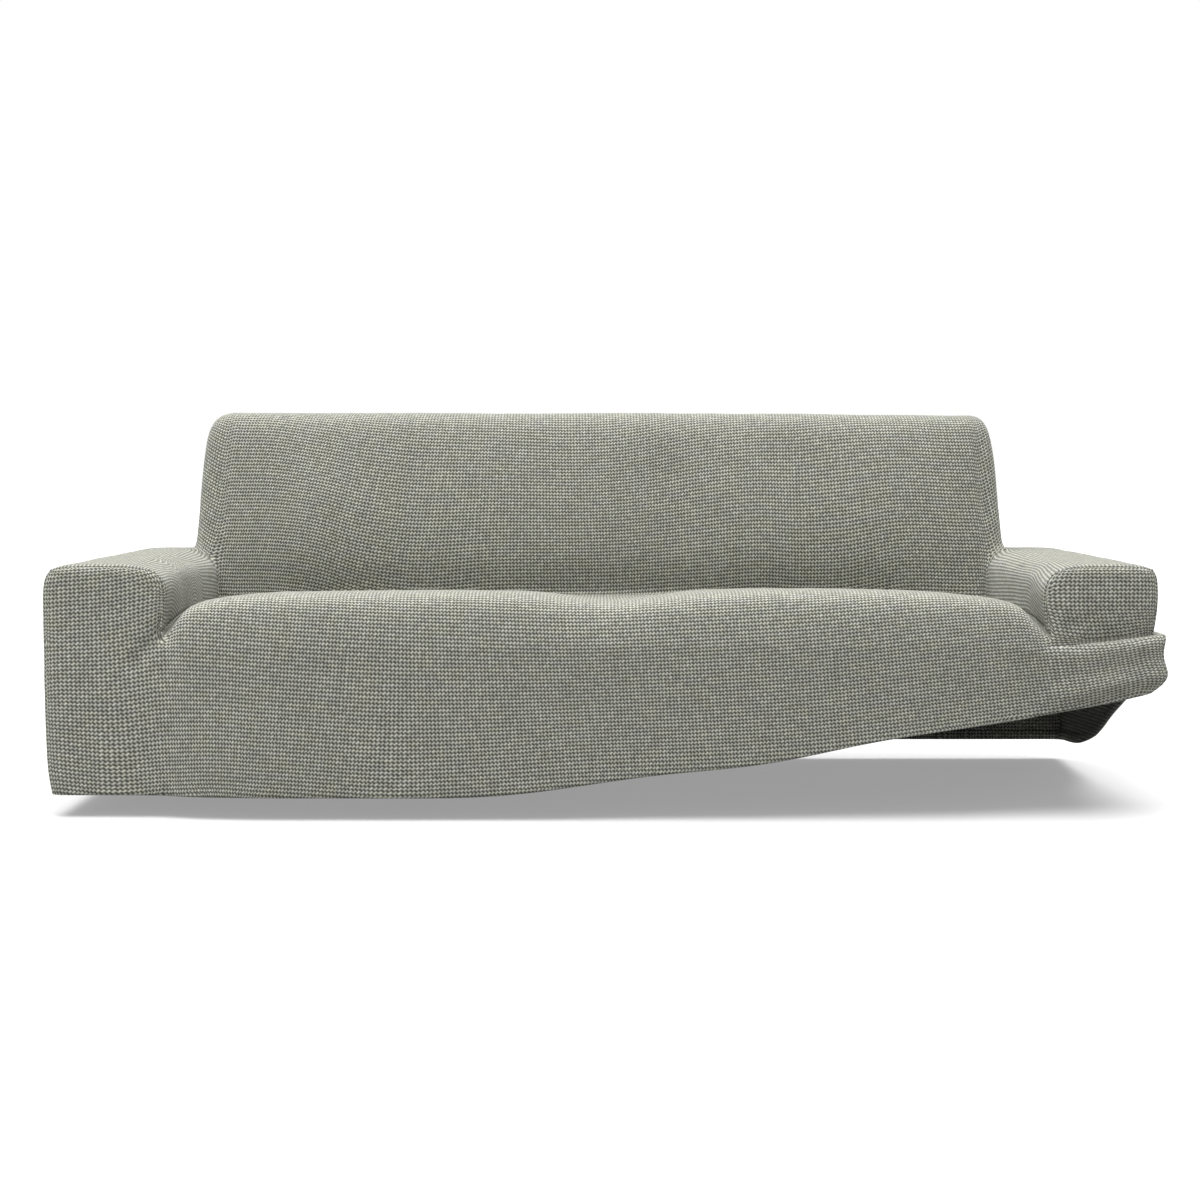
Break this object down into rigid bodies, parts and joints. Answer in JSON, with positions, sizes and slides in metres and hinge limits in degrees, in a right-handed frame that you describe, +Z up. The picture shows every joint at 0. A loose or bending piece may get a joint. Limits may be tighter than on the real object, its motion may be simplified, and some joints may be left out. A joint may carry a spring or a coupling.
{
  "type": "sofa slipcover",
  "caption": "Fitted stretch-knit slipcover for a sofa with arms: a hollow shell of sewn cloth panels over seat, backrest and arms, open underneath, its hem lifted at the right front corner.",
  "frame": {"origin": "middle of the cover's length and depth, at the height of the hem's lowest edge", "axes": "+X along the seat to the right end as seen from the front, -Y to the front, +Z up"},
  "size_m": [2.2169, 0.9213, 0.768],
  "materials": {
    "stretch_knit": "matte"
  },
  "bodies": {
    "root": {"front_seat_back_panel": "stretch_knit", "arm_panel_left": "stretch_knit", "arm_panel_right": "stretch_knit", "outside_back_panel": "stretch_knit"}
  },
  "joints": []
}
